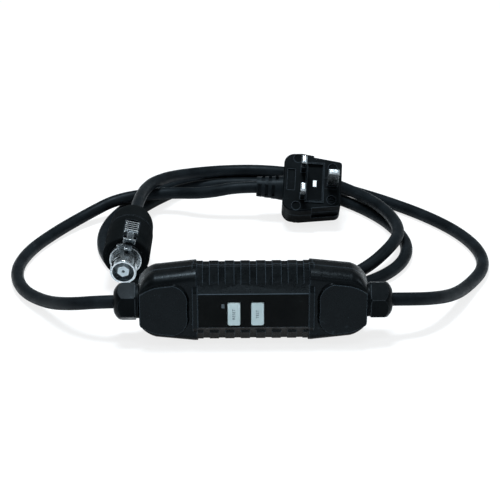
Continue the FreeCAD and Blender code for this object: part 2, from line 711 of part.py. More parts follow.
def make_gland(name, sign):
    direction = V(sign, 0, 0)
    face = BODY_HALF_LENGTH

    def at(distance):
        return V(sign * distance, 0, AXIS_Z)

    bore = CORD_RADIUS + ENTRY_GAP
    stub = rod(at(face - GLAND_STUB_LENGTH), direction, GLAND_STUB_RADIUS - THREAD_FIT,
               GLAND_STUB_LENGTH + 0.1)
    flange = rod(at(face), direction, GLAND_FLANGE_RADIUS, GLAND_FLANGE_THICK)
    thread = rod(at(face + GLAND_FLANGE_THICK), direction, GLAND_THREAD_RADIUS, GLAND_THREAD_LENGTH)
    body = fuse_all([stub, flange, thread])
    body = body.cut(rod(at(face - GLAND_STUB_LENGTH - 1.0), direction, bore, 60.0))
    seal_start = face + GLAND_FLANGE_THICK + 0.6
    body = body.cut(rod(at(seal_start), direction, SEAL_RADIUS, 20.0))
    keep(name + "_gland_body", body)
    seal = rod(at(seal_start), direction, SEAL_RADIUS - THREAD_FIT, SEAL_LENGTH)
    seal = seal.cut(rod(at(seal_start), direction, CORD_RADIUS + THREAD_FIT, SEAL_LENGTH))
    keep(name + "_gland_seal", seal)
    nut_start = face + GLAND_FLANGE_THICK + 0.2
    nut_end = nut_start + NUT_LENGTH + NUT_DOME_LENGTH
    corner = NUT_FLATS / math.sqrt(3.0)
    prism = hexagon(at(nut_start), direction, NUT_FLATS, NUT_LENGTH + NUT_DOME_LENGTH, NUT_TURN)
    side = [(nut_start, 0.0), (nut_start, corner - 0.8), (nut_start + 0.8, corner),
            (nut_start + NUT_LENGTH - 1.2, corner)]
    p0 = V(sign * (nut_start + NUT_LENGTH - 1.2), 0, AXIS_Z + corner)
    p1 = V(sign * (nut_end - 1.7), 0, AXIS_Z + NUT_FACE_RADIUS + 2.9)
    p2 = V(sign * nut_end, 0, AXIS_Z + NUT_FACE_RADIUS)
    points = [V(sign * d, 0, AXIS_Z + r) for d, r in side]
    edges = [Part.makeLine(a, b) for a, b in zip(points[:-1], points[1:])]
    edges.append(Part.Arc(p0, p1, p2).toShape())
    edges.append(Part.makeLine(p2, at(nut_end)))
    edges.append(Part.makeLine(at(nut_end), points[0]))
    turned = Part.Face(Part.Wire(edges)).revolve(at(0.0), X_AXIS, 360.0)
    nut = prism.common(turned)
    nut = nut.cut(rod(at(nut_start - 1.0), direction, GLAND_THREAD_RADIUS + THREAD_FIT,
                      GLAND_THREAD_LENGTH + 1.4))
    nut = nut.cut(rod(at(nut_start), direction, CORD_RADIUS + 1.1, 40.0))
    keep(name + "_gland_nut", nut)
    lock_start = face - END_WALL
    lock = hexagon(at(lock_start), V(-sign, 0, 0), LOCKNUT_FLATS, LOCKNUT_THICK)
    keep(name + "_locknut", lock.cut(rod(at(lock_start), V(-sign, 0, 0), GLAND_STUB_RADIUS, LOCKNUT_THICK)))


# Plug, in its own place: x towards the earth pin, y across the pins, z out of the pin face

def plug_half_width(x):
    """Half the plug's width at one place along it, without its rounded corners."""
    if x < PLUG_WIDEST_X:
        share = (PLUG_WIDEST_X - x) / (PLUG_WIDEST_X + PLUG_HALF_LENGTH)
        return PLUG_HALF_WIDTH + share * (PLUG_REAR_HALF_WIDTH - PLUG_HALF_WIDTH)
    share = (x - PLUG_WIDEST_X) / (PLUG_HALF_LENGTH - PLUG_WIDEST_X)
    return PLUG_HALF_WIDTH + share * (PLUG_END_HALF_WIDTH - PLUG_HALF_WIDTH)


def plug_body(z0, z1, grow=0.0):
    """The plug's outline, rounded at its corners, between two depths."""
    length = PLUG_HALF_LENGTH + grow
    upper = [(x, plug_half_width(x) + grow) for x in (-length, PLUG_WIDEST_X, length)]
    body = prism_z(upper + [(x, -y) for x, y in reversed(upper)], z0, z1)
    for end, radius in ((-length, PLUG_REAR_CORNER + grow), (length, PLUG_END_CORNER + grow)):
        uprights = [e for e in body.Edges
                    if e.BoundBox.ZLength > 0.5 * (z1 - z0) and abs(e.BoundBox.Center.x - end) < 0.1]
        body = body.makeFillet(radius, uprights)
    return body


def plug_screw_places():
    """Middles of the four fasteners in the pin face. The first has an open cross."""
    return [(14.8, -13.4), (14.8, 13.0), (-11.6, 19.6), (-11.6, -19.6)]


def cross_slot(x, y, top):
    reach = CROSS_REACH
    half = CROSS_WIDTH / 2.0
    arm = box(x - reach, x + reach, y - half, y + half, top - CROSS_DEPTH, top)
    return arm.fuse(box(x - half, x + half, y - reach, y + reach, top - CROSS_DEPTH, top))


def make_fuse_carrier():
    """The drawer in the pin face, with its fuse and window."""
    top = -CARRIER_SUNK
    half = CARRIER_LENGTH / 2.0
    half_w = CARRIER_WIDTH / 2.0
    fuse_z = top - FUSE_RADIUS - 0.9
    carrier = box(CARRIER_X - half_w, CARRIER_X + half_w, -half, half, -CARRIER_DEPTH, top)
    hole = box(CARRIER_X - WINDOW_HALF_WIDTH, CARRIER_X + WINDOW_HALF_WIDTH, -WINDOW_HALF_LENGTH,
               WINDOW_HALF_LENGTH, top - WINDOW_DEPTH, 1.0)
    fuse = rod(V(CARRIER_X, -FUSE_LENGTH / 2.0, fuse_z), Y_AXIS, FUSE_RADIUS, FUSE_LENGTH)
    under = box(CARRIER_X - FUSE_RADIUS, CARRIER_X + FUSE_RADIUS, -FUSE_LENGTH / 2.0, FUSE_LENGTH / 2.0,
                -CARRIER_DEPTH - 1.0, fuse_z)
    notch = box(CARRIER_X - NOTCH_HALF, CARRIER_X + NOTCH_HALF, -half - 1.0, -half + NOTCH_REACH,
                top - NOTCH_REACH, 1.0)
    window = hole.common(box(-50.0, 50.0, -50.0, 50.0, -CARRIER_DEPTH, top - 0.1))
    clips = []
    for s in (-1.0, 1.0):
        y = s * CLIP_Y
        clips.append(box(CARRIER_X - CLIP_HALF_WIDTH, CARRIER_X + CLIP_HALF_WIDTH, y - CLIP_HALF_LENGTH,
                         y + CLIP_HALF_LENGTH, PLUG_WALL - PLUG_THICK, fuse_z - FUSE_RADIUS - 0.3))
    return {"fuse_carrier": carrier.cut(fuse.fuse([under, notch])).cut(hole), "fuse": fuse,
            "fuse_window": window.cut(fuse), "fuse_clips": group(clips)}


def make_boot(root, mid):
    boot_end = V(root - BOOT_LENGTH, 0, mid)
    boot = Part.makeCone(BOOT_END_RADIUS, BOOT_ROOT_RADIUS, BOOT_LENGTH, boot_end, X_AXIS)
    neck = rod(V(root, 0, mid), X_AXIS, BOOT_NECK_RADIUS, 5.4)
    boot = boot.fuse(neck).cut(rod(V(root - BOOT_LENGTH - 1.0, 0, mid), X_AXIS, CORD_RADIUS + 0.2, 40.0))
    wide = BOOT_SLOT_WIDTH / 2.0
    for i in range(BOOT_SLOTS):
        x = root - BOOT_SLOT_START - i * BOOT_SLOT_PITCH
        for turn in range(4):
            near = x - (turn % 2) * BOOT_SLOT_PITCH / 2.0
            slot = box(near - wide, near + wide, BOOT_SLOT_FLOOR, BOOT_SLOT_FLOOR + 10.0,
                       mid - BOOT_SLOT_HALF, mid + BOOT_SLOT_HALF)
            slot.rotate(V(0, 0, mid), X_AXIS, 45.0 + 90.0 * turn)
            boot = boot.cut(slot)
    return boot


def make_plug():
    seam = -PLUG_COVER_THICK
    back = -PLUG_THICK
    cover = plug_body(seam, 0.0)
    rim = [e for e in cover.Edges if e.BoundBox.ZMin > -0.01]
    cover = cover.makeChamfer(PLUG_RIM_CHAMFER, rim)
    base = plug_body(back, seam)
    foot = [e for e in base.Edges if e.BoundBox.ZMax < back + 0.01]
    base = base.makeFillet(PLUG_FOOT_ROUND, foot)
    base = base.cut(plug_body(back + PLUG_WALL, seam, -PLUG_WALL))
    half_w = CARRIER_WIDTH / 2.0 + CARRIER_GAP
    half = CARRIER_LENGTH / 2.0 + CARRIER_GAP
    well = box(CARRIER_X - half_w, CARRIER_X + half_w, -half, half, back, FRAME_PROUD + 1.0)
    hollow = plug_body(seam, seam + HOLLOW_DEPTH, -PLUG_WALL)
    rib_top = seam + RIB_DEPTH
    ribs = [box(PIN_ROW_X - 5.0, PIN_ROW_X + 5.0, s * PIN_SPACING / 2.0 - 5.6, s * PIN_SPACING / 2.0 + 5.6,
                seam, rib_top) for s in (-1.0, 1.0)]
    ribs.append(box(EARTH_X - 5.0, EARTH_X + 4.2, -6.6, 6.6, seam, rib_top))
    for x, y in plug_screw_places():
        ribs.append(rod(V(x, y, seam), Z_AXIS, PLUG_SCREW_RADIUS + 1.2, RIB_DEPTH))
    cover = cover.cut(hollow.cut(fuse_all(ribs)))
    frame_w = half_w + FRAME_WIDTH
    frame_l = half + FRAME_WIDTH
    cover = cover.fuse(box(CARRIER_X - frame_w, CARRIER_X + frame_w, -frame_l, frame_l, -1.0, FRAME_PROUD))
    for bed, depth in ((PLATE_BED, PLATE_BED_DEPTH), (EARTH_BED, EARTH_BED_DEPTH)):
        cover = cover.cut(box(*bed, -depth, 1.0))
    # finger recesses in both long sides, let into the slanting wall
    for s in (-1.0, 1.0):
        bottom = [(x, s * (plug_half_width(x) - RECESS_DEPTH)) for x in (RECESS_START, RECESS_END)]
        mouth = [(x, s * (plug_half_width(x) + 3.0)) for x in (RECESS_END, RECESS_START)]
        recess = prism_z(bottom + mouth, -RECESS_LOW, 1.0)
        base = base.cut(recess)
        cover = cover.cut(recess)
    cover = cover.cut(well)
    nodes = make_fuse_carrier()
    pins = []
    sleeves = []
    bar_depth = seam - PIN_ROOT
    half_t = PIN_THICK / 2.0
    for s in (-1.0, 1.0):
        y = s * PIN_SPACING / 2.0
        half_w = PIN_WIDE / 2.0
        metal = box(PIN_ROW_X - half_t, PIN_ROW_X + half_t, y - half_w, y + half_w, bar_depth, PIN_LENGTH)
        tips = [e for e in metal.Edges if e.BoundBox.ZMin > PIN_LENGTH - 0.01]
        metal = metal.makeChamfer(PIN_CHAMFER, tips)
        skin = box(PIN_ROW_X - half_t, PIN_ROW_X + half_t, y - half_w, y + half_w, 0.0, SLEEVE_LENGTH)
        core = box(PIN_ROW_X - half_t + SLEEVE_THICK, PIN_ROW_X + half_t - SLEEVE_THICK,
                   y - half_w + SLEEVE_THICK, y + half_w - SLEEVE_THICK, 0.0, SLEEVE_LENGTH)
        sleeve = skin.cut(core)
        pins.append(metal.cut(sleeve))
        sleeves.append(sleeve)
        cover = cover.cut(box(PIN_ROW_X - half_t, PIN_ROW_X + half_t, y - half_w, y + half_w, back, 1.0))
    nodes["line_neutral_pins"] = group(pins)
    nodes["pin_sleeves"] = group(sleeves)
    half_w = EARTH_WIDE / 2.0
    earth = box(EARTH_X - half_w, EARTH_X + half_w, -half_t, half_t, bar_depth, EARTH_LENGTH)
    tips = [e for e in earth.Edges if e.BoundBox.ZMin > EARTH_LENGTH - 0.01]
    nodes["earth_pin"] = earth.makeChamfer(PIN_CHAMFER, tips)
    cover = cover.cut(box(EARTH_X - half_w, EARTH_X + half_w, -half_t, half_t, back, 1.0))
    spine = box(PIN_ROW_X - 3.0, EARTH_X + 4.0, -2.6, 2.6, back + PLUG_WALL, bar_depth)
    bar = box(PIN_ROW_X - 3.0, PIN_ROW_X + 3.0, -15.0, 15.0, back + PLUG_WALL, bar_depth)
    nodes["pin_tray"] = fuse_all([spine, bar])
    screws = []
    for x, y in plug_screw_places():
        head = rod(V(x, y, -PLUG_SCREW_SINK), Z_AXIS, PLUG_SCREW_RADIUS - 0.4, PLUG_HEAD_THICK)
        shank_length = PLUG_SHANK_END - PLUG_SCREW_SINK + 0.2
        screw = head.fuse(rod(V(x, y, -PLUG_SHANK_END), Z_AXIS, PLUG_SHANK_RADIUS, shank_length))
        if not screws:
            screw = screw.cut(cross_slot(x, y, PLUG_HEAD_THICK - PLUG_SCREW_SINK))
        screws.append(screw)
        cover = cover.cut(rod(V(x, y, -PLUG_SCREW_SINK), Z_AXIS, PLUG_SCREW_RADIUS, 4.0))
        cover = cover.cut(rod(V(x, y, back), Z_AXIS, PLUG_SHANK_RADIUS + 0.1, -back))
        boss = rod(V(x, y, back + 1.2), Z_AXIS, PLUG_BOSS_RADIUS, seam - back - 1.2)
        boss = boss.common(plug_body(back, seam, -0.4))
        shank_hole = rod(V(x, y, -PLUG_SHANK_END - 0.2), Z_AXIS, PLUG_SHANK_RADIUS + 0.1, 20.0)
        base = base.fuse(boss.cut(well)).cut(shank_hole)
    nodes["plug_screws"] = group(screws)
    mid = -PLUG_THICK / 2.0
    root = -PLUG_HALF_LENGTH
    nodes["plug_boot"] = make_boot(root, mid)
    hole = rod(V(root - 1.0, 0, mid), X_AXIS, BOOT_NECK_RADIUS + 0.1, 6.0)
    nodes["cord_grip"] = box(root + 6.0, root + 11.0, -9.0, 9.0, back + PLUG_WALL, mid + 2.2).cut(
        rod(V(root, 0, mid), X_AXIS, CORD_RADIUS + 0.05, 20.0))
    nodes["plug_cover"] = cover.cut(hole).removeSplitter()
    nodes["plug_base"] = base.cut(hole).removeSplitter()
    for name, shape in nodes.items():
        placed = shape.copy()
        placed.rotate(V(0, 0, 0), Z_AXIS, PLUG_TURN)
        placed.rotate(V(0, 0, 0), X_AXIS, PLUG_TILT)
        placed.translate(PLUG_PLACE)
        keep(name, placed)


# Connector, in its own place: y from the nose to the rear, z towards the latch

def latch_room():
    """The bed in the shell that the latch lies and slides in."""
    floor = SHELL_RADIUS - 1.4
    above = SHELL_RADIUS + 4.0
    front = SHELL_START - 1.0
    half = LATCH_WIDTH / 2.0 + LATCH_SLACK
    neck = LATCH_NECK_HALF + LATCH_SLACK
    ear = LATCH_EAR_HALF + LATCH_SLACK
    run = LATCH_TRAVEL + LATCH_SLACK
    bed = box(-half, half, LATCH_START - LATCH_SLACK, LATCH_START + LATCH_LENGTH + run, floor, above)
    track = box(-neck, neck, front, LATCH_START, floor, above)
    front_room = box(-ear, ear, front, LATCH_FRONT + LATCH_SHEET + run, FLANGE_RADIUS + 0.15, above)
    return bed.fuse([track, front_room])


def make_latch():
    """The bent sheet that holds the mate: a ribbed pad, a neck and a tongue over the flange."""
    lift = SHELL_RADIUS - 1.1
    low = FLANGE_RADIUS + 0.3
    wide = LATCH_WIDTH / 2.0
    pad = box(-wide, wide, LATCH_START, LATCH_START + LATCH_LENGTH, lift, lift + LATCH_PAD_THICK)
    crest = lift + LATCH_PAD_THICK
    ridges = []
    for i in range(LATCH_RIDGES):
        y = LATCH_START + 1.0 + i * LATCH_RIDGE_PITCH
        tooth = [(y, crest - 0.2), (y + LATCH_RIDGE_WIDTH / 2.0, crest + LATCH_RIDGE_RISE),
                 (y + LATCH_RIDGE_WIDTH, crest - 0.2)]
        ridges.append(prism_x(tooth, -wide, wide))
    top = lift + LATCH_SHEET
    bend = LATCH_FRONT + LATCH_SHEET
    neck = box(-LATCH_NECK_HALF, LATCH_NECK_HALF, LATCH_FRONT, LATCH_START + 1.0, lift, top)
    ears = box(-LATCH_EAR_HALF, LATCH_EAR_HALF, LATCH_FRONT, bend, low + LATCH_EAR_RISE, top)
    half = LATCH_TONGUE_HALF
    tongue = box(-half, half, LATCH_TONGUE_START, bend, low, low + LATCH_SHEET)
    drop = box(-half, half, LATCH_FRONT, bend, low, lift)
    return fuse_all([pad, neck, ears, tongue, drop] + ridges)


def make_connector():
    nodes = {}

    def at(y):
        return V(0, y, 0)

    nose = rod(at(0.0), Y_AXIS, BARREL_RADIUS, NOSE_LENGTH)
    nose = nose.makeFillet(NOSE_ROUND, [e for e in nose.Edges if e.BoundBox.YMax < 0.01])
    barrel = fuse_all([nose, rod(at(2.0), Y_AXIS, STEM_RADIUS, BARREL_LENGTH - 2.0)])
    barrel = barrel.cut(rod(at(-1.0), Y_AXIS, BARREL_BORE, BARREL_LENGTH + 2.0))
    half = GROOVE_WIDTH / 2.0
    for turn in (-60.0, 180.0):
        slot = box(-half, half, -1.0, GROOVE_END, 5.0, 12.0)
        slot = slot.fuse(box(-half, GROOVE_SIDE_REACH, GROOVE_END - GROOVE_WIDTH, GROOVE_END, 5.0, 12.0))
        slot.rotate(V(0, 0, 0), Y_AXIS, turn)
        barrel = barrel.cut(slot.cut(rod(at(-2.0), Y_AXIS, BARREL_RADIUS - GROOVE_DEPTH, 20.0)))
    nodes["conn_barrel"] = barrel
    flange = tube(at(FLANGE_START), Y_AXIS, FLANGE_RADIUS, STEM_RADIUS + THREAD_FIT,
                  SHELL_START - FLANGE_START)
    dish = rod(at(FLANGE_START - 1.0), Y_AXIS, FLANGE_RADIUS - FLANGE_RIM, FLANGE_DISH + 1.0)
    flange = flange.cut(dish)
    tab = box(-TAB_HALF_WIDTH, TAB_HALF_WIDTH, FLANGE_START, FLANGE_START + 1.6,
              FLANGE_RADIUS - 1.6, FLANGE_RADIUS + TAB_PROUD)
    tab.rotate(V(0, 0, 0), Y_AXIS, TAB_TURN)
    nodes["conn_flange"] = flange.fuse(tab).removeSplitter()
    insert = rod(at(INSERT_START), Y_AXIS, BARREL_BORE - THREAD_FIT, INSERT_LENGTH)
    post = hexagon(at(1.0), Y_AXIS, POST_FLATS, POST_LENGTH)
    insert = insert.cut(hexagon(at(INSERT_START), Y_AXIS, POST_FLATS, POST_LENGTH + 1.0 - INSERT_START))
    nodes["conn_post"] = post.cut(rod(at(0.0), Y_AXIS, 1.1, 10.0))
    shell = Part.makeCone(SHELL_RADIUS, SHELL_REAR_RADIUS, SHELL_END - SHELL_START, at(SHELL_START), Y_AXIS)
    front_edge = [e for e in shell.Edges if e.BoundBox.YMax < SHELL_START + 0.01]
    shell = shell.makeFillet(1.6, front_edge)
    shell = shell.cut(rod(at(SHELL_START - 1.0), Y_AXIS, STEM_RADIUS + THREAD_FIT, 8.0))
    shell = shell.cut(rod(at(SHELL_START + 4.0), Y_AXIS, SHELL_RADIUS - SHELL_WALL - 0.6, 60.0))
    nodes["conn_shell"] = shell.cut(latch_room())
    ring = tube(at(SHELL_END), Y_AXIS, SHELL_REAR_RADIUS - RING_SUNK, 12.0, RING_WIDTH)
    nodes["conn_ring"] = ring
    cap_start = SHELL_END + RING_WIDTH
    p = [V(0, cap_start, 0), V(0, cap_start, CAP_RADIUS), V(0, cap_start + 8.0, CAP_RADIUS - 0.5),
         V(0, CAP_END - 6.0, CAP_RADIUS - 3.6), V(0, CAP_END, CAP_NOSE_RADIUS), V(0, CAP_END, 0)]
    edges = [Part.makeLine(p[0], p[1]), Part.makeLine(p[1], p[2]), Part.Arc(p[2], p[3], p[4]).toShape(),
             Part.makeLine(p[4], p[5]), Part.makeLine(p[5], p[0])]
    cap = Part.Face(Part.Wire(edges)).revolve(V(0, 0, 0), Y_AXIS, 360.0)
    cap = cap.cut(rod(at(0.0), Y_AXIS, CORD_RADIUS + 0.5, 200.0))
    cap = cap.cut(rod(at(cap_start - 1.0), Y_AXIS, 10.6, 14.0))
    nodes["conn_cap"] = cap
    chuck = tube(at(SHELL_END - 4.0), Y_AXIS, 10.3, CORD_RADIUS + THREAD_FIT, 17.0)
    nodes["conn_chuck"] = chuck
    nodes["latch_slider"] = make_latch()
    spring_place = V(0, LATCH_START + LATCH_LENGTH - 12.0, BARREL_RADIUS + 1.9)
    nodes["latch_spring"] = tube(spring_place, Y_AXIS, 1.6, 1.0, 11.0)
    contacts = []
    for i in range(3):
        angle = math.radians(90.0 + 120.0 * i)
        place = V(CONTACT_CIRCLE * math.cos(angle), 30.0, CONTACT_CIRCLE * math.sin(angle))
        contacts.append(rod(place, Y_AXIS, CONTACT_RADIUS, CONTACT_LENGTH))
        insert = insert.cut(contacts[-1])
    nodes["conn_insert"] = insert
    nodes["conn_contacts"] = group(contacts)
    for name, shape in nodes.items():
        placed = shape.copy()
        placed.rotate(V(0, 0, 0), Y_AXIS, CONN_ROLL)
        placed.rotate(V(0, 0, 0), X_AXIS, CONN_RISE)
        placed.rotate(V(0, 0, 0), Z_AXIS, CONN_TURN)
        placed.translate(CONN_PLACE)
        keep(name, placed)


# Cords: hand-chosen points of each route, the plug and connector ends worked out from their places

def plug_point(x, y, z):
    turned = FreeCAD.Rotation(Z_AXIS, PLUG_TURN).multVec(V(x, y, z))
    return FreeCAD.Rotation(X_AXIS, PLUG_TILT).multVec(turned).add(PLUG_PLACE)


def conn_point(y):
    raised = FreeCAD.Rotation(X_AXIS, CONN_RISE).multVec(V(0, y, 0))
    return FreeCAD.Rotation(Z_AXIS, CONN_TURN).multVec(raised).add(CONN_PLACE)


def cord_path(points):
    """Straight runs joined by tangent arcs, each as large as its two runs allow."""
    edges = []
    here = points[0]
    radii = []
    for a, b, c in zip(points[:-2], points[1:-1], points[2:]):
        back = a.sub(b)
        ahead = c.sub(b)
        reach = 0.45 * min(back.Length, ahead.Length)
        back.normalize()
        ahead.normalize()
        turn = math.pi - back.getAngle(ahead)
        radius = reach / math.tan(turn / 2.0)
        radii.append(radius)
        start = b + back * reach
        end = b + ahead * reach
        inward = back + ahead
        inward.normalize()
        middle = b + inward * (radius / math.cos(turn / 2.0) - radius)
        edges.append(Part.makeLine(here, start))
        edges.append(Part.Arc(start, middle, end).toShape())
        here = end
    edges.append(Part.makeLine(here, points[-1]))
    return Part.Wire(edges), radii


def cord_tube(name, points):
    path, radii = cord_path(points)
    heading = points[1].sub(points[0])
    section_ring = Part.Wire([Part.makeCircle(CORD_RADIUS, points[0], heading)])
    solid = path.makePipeShell([section_ring], True, False)
    ratio = solid.Volume / (math.pi * CORD_RADIUS ** 2 * path.Length)
    print(name, "length %.0f mm" % path.Length, "points", len(points), "volume ratio %.4f" % ratio,
          "least radius %.1f" % min(radii))
    tight = ["%d: %.1f" % (i + 1, r) for i, r in enumerate(radii) if r < 46.0]
    print("   radii under 46:", ", ".join(tight))
    keep(name, solid)
    return path


def sample(path):
    count = int(path.Length / 2.5)
    return path.discretize(Number=count)


def least_gap(points_a, points_b, apart):
    best = (1e9, 0, 0)
    for i, p in enumerate(points_a):
        for j, q in enumerate(points_b):
            if apart is not None and j < i + apart:
                continue
            gap = p.distanceToPoint(q)
            if gap < best[0]:
                best = (gap, i, j)
    return best


F = CORD_FLOOR
OVER = F + 2.0 * CORD_RADIUS + 0.7

LINE_ROUTE = [
    V(-CORD_START, 0, AXIS_Z), V(-CORD_EXIT, 0, AXIS_Z), V(-122, 11, 20.0), V(-141, 35, 9.0),
    V(-160, 61, F), V(-168, 91, F), V(-162, 123, F), V(-146, 154, F), V(-124, 180, 7.5),
    V(-99, 196, OVER + 0.4), V(-62, 203, OVER + 1.1), V(-33, 190.5, 20.0)]

LOAD_ROUTE = [
    V(CORD_START, 0, AXIS_Z), V(CORD_EXIT, 0, AXIS_Z), V(120, 11, 22.0), V(138, 34, 12.5), V(153, 62, 5.8),
    V(168, 91, F), V(168, 121, F), V(156, 152, F), V(134, 182, F), V(106, 209, F), V(77, 232, F),
    V(46, 250, F), V(12, 256, F), V(-24, 255, F), V(-58, 244, F), V(-83, 218, F), V(-101, 187, F),
    V(-109.5, 154, F), V(-107, 120, F), V(-94, 91, F), V(-71, 69, F), V(-40, 54, F), V(-5, 48, F),
    V(31, 49.5, F), V(63, 58, F), V(91, 75, F), V(110, 99, F), V(117, 128, F), V(110, 159, F),
    V(95, 187, F), V(73, 212, F), V(45, 235, F), V(12, 246, F), V(-22, 245, F), V(-52, 235.5, F),
    V(-74, 211, F), V(-91, 183, F), V(-99.5, 152, F), V(-97, 122, F), V(-85, 97, F), V(-64, 78.5, F),
    V(-36, 64.5, F), V(-4, 58.5, F), V(29, 60, F), V(58, 69, F), V(83, 86, 7.5), V(102, 107, OVER),
    V(111, 132, OVER), V(107, 161, OVER), V(95, 188, OVER), V(75, 213, OVER), V(48, 238, OVER),
    V(14, 250.5, 13.5), V(-20, 250, 13.5), V(-47, 237, 16.5), V(-65, 213, 23.6), V(-78, 189, 27.0)]


def make_cords():
    mid = -PLUG_THICK / 2.0
    root = -PLUG_HALF_LENGTH
    line = LINE_ROUTE + [plug_point(root - 30.0, 0, mid), plug_point(root + 1.0, 0, mid)]
    load = LOAD_ROUTE + [conn_point(CAP_END + 13.0), conn_point(CAP_END - 13.0)]
    line_path = cord_tube("line_cord", line)
    load_path = cord_tube("load_cord", load)
    a = sample(line_path)
    b = sample(load_path)
    width = 2.0 * CORD_RADIUS
    for label, one, two, apart in (("line to itself", a, a, 30), ("load to itself", b, b, 30),
                                   ("line to load", a, b, None)):
        gap, i, j = least_gap(one, two, apart)
        print("least gap", label, "%.2f" % (gap - width), "at", [round(c, 1) for c in one[i]],
              [round(c, 1) for c in two[j]])


make_shells()
make_panel()
make_works()
make_gland("line", -1.0)
make_gland("load", 1.0)
make_plug()
make_connector()
make_cords()

os.makedirs("parts", exist_ok=True)
for node_name, node_shape in NODES.items():
    if not node_shape.isValid():
        print("NOT VALID", node_name)
    if node_shape.Volume <= 0:
        print("NO VOLUME", node_name)
    node_shape.exportStep("parts/" + node_name + ".step")
print(len(NODES), "nodes")
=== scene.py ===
import json
import math

import bpy
from mathutils import Matrix, Vector


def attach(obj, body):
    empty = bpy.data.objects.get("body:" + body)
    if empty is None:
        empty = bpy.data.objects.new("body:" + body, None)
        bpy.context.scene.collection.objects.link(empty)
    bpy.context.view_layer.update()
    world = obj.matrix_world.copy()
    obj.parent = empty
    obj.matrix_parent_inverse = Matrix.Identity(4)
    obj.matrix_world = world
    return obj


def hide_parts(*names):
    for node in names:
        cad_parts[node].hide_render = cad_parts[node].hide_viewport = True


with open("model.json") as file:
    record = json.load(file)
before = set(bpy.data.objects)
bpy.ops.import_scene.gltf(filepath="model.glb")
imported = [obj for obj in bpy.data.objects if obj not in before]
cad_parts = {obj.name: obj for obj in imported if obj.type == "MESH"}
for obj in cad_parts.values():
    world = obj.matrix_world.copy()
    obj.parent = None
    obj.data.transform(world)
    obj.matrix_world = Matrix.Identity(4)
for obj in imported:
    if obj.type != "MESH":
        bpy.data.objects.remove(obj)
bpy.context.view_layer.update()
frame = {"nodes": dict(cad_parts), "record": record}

# Metres, in the frame of the solids: +X along the box, +Z up, the camera side is -Y.
# Sizes said to be in millimetres are multiplied by MM where they are used.
MM = 0.001

# Camera
CAMERA_PLACE = (-0.0187, -0.9583, 0.532)
CAMERA_DROP = 26.0
CAMERA_TURN = -1.0
CAMERA_LENS = 118.2
SENSOR_WIDTH = 36.0

# Box sizes that the pieces here repeat, in millimetres
AXIS_Z = 27.6
BUTTON_FRONT = -15.8
BUTTON_MIDDLE = AXIS_Z - 2.0
RESET_X = -12.7
TEST_X = 2.7
GLAND_END = 66.8

# Lettering on the two buttons, in millimetres
LETTER_HEIGHT = 2.7
LETTER_PROUD = 0.06
LETTER_SPREAD = 1.12

# Softened edges of the solids, in millimetres and degrees
WELD_REACH = 0.01
EDGE_SOFT = 0.25
FINE_EDGE_SOFT = 0.1
EDGE_ANGLE = 32.0

# Routes of the cords, in millimetres, which the solid tubes follow
CORD_RADIUS = 4.5
CORD_FLOOR = 4.6
CORD_OVER = 14.3
LINE_ROUTE = [
    (-GLAND_END, 0, AXIS_Z), (-98, 0, AXIS_Z), (-122, 11, 20.0), (-141, 35, 9.0), (-160, 61, CORD_FLOOR),
    (-168, 91, CORD_FLOOR), (-162, 123, CORD_FLOOR), (-146, 154, CORD_FLOOR), (-124, 180, 7.5),
    (-99, 196, 14.7), (-62, 203, 15.4), (-33, 190.5, 20.0), (-3.57, 189.39, 26.77), (27.35, 187.79, 25.32)]
LOAD_ROUTE = [
    (GLAND_END, 0, AXIS_Z), (98, 0, AXIS_Z), (120, 11, 22.0), (138, 34, 12.5), (153, 62, 5.8),
    (168, 91, CORD_FLOOR), (168, 121, CORD_FLOOR), (156, 152, CORD_FLOOR), (134, 182, CORD_FLOOR),
    (106, 209, CORD_FLOOR), (77, 232, CORD_FLOOR), (46, 250, CORD_FLOOR), (12, 256, CORD_FLOOR),
    (-24, 255, CORD_FLOOR), (-58, 244, CORD_FLOOR), (-83, 218, CORD_FLOOR), (-101, 187, CORD_FLOOR),
    (-109.5, 154, CORD_FLOOR), (-107, 120, CORD_FLOOR), (-94, 91, CORD_FLOOR), (-71, 69, CORD_FLOOR),
    (-40, 54, CORD_FLOOR), (-5, 48, CORD_FLOOR), (31, 49.5, CORD_FLOOR), (63, 58, CORD_FLOOR),
    (91, 75, CORD_FLOOR), (110, 99, CORD_FLOOR), (117, 128, CORD_FLOOR), (110, 159, CORD_FLOOR),
    (95, 187, CORD_FLOOR), (73, 212, CORD_FLOOR), (45, 235, CORD_FLOOR), (12, 246, CORD_FLOOR),
    (-22, 245, CORD_FLOOR), (-52, 235.5, CORD_FLOOR), (-74, 211, CORD_FLOOR), (-91, 183, CORD_FLOOR),
    (-99.5, 152, CORD_FLOOR), (-97, 122, CORD_FLOOR), (-85, 97, CORD_FLOOR), (-64, 78.5, CORD_FLOOR),
    (-36, 64.5, CORD_FLOOR), (-4, 58.5, CORD_FLOOR), (29, 60, CORD_FLOOR), (58, 69, CORD_FLOOR),
    (83, 86, 7.5), (102, 107, CORD_OVER), (111, 132, CORD_OVER), (107, 161, CORD_OVER),
    (95, 188, CORD_OVER), (75, 213, CORD_OVER), (48, 238, CORD_OVER), (14, 250.5, 13.5),
    (-20, 250, 13.5), (-47, 237, 16.5), (-65, 213, 23.6), (-78, 189, 27.0),
    (-83.5, 142.12, 31.52), (-84.86, 116.26, 29.25)]

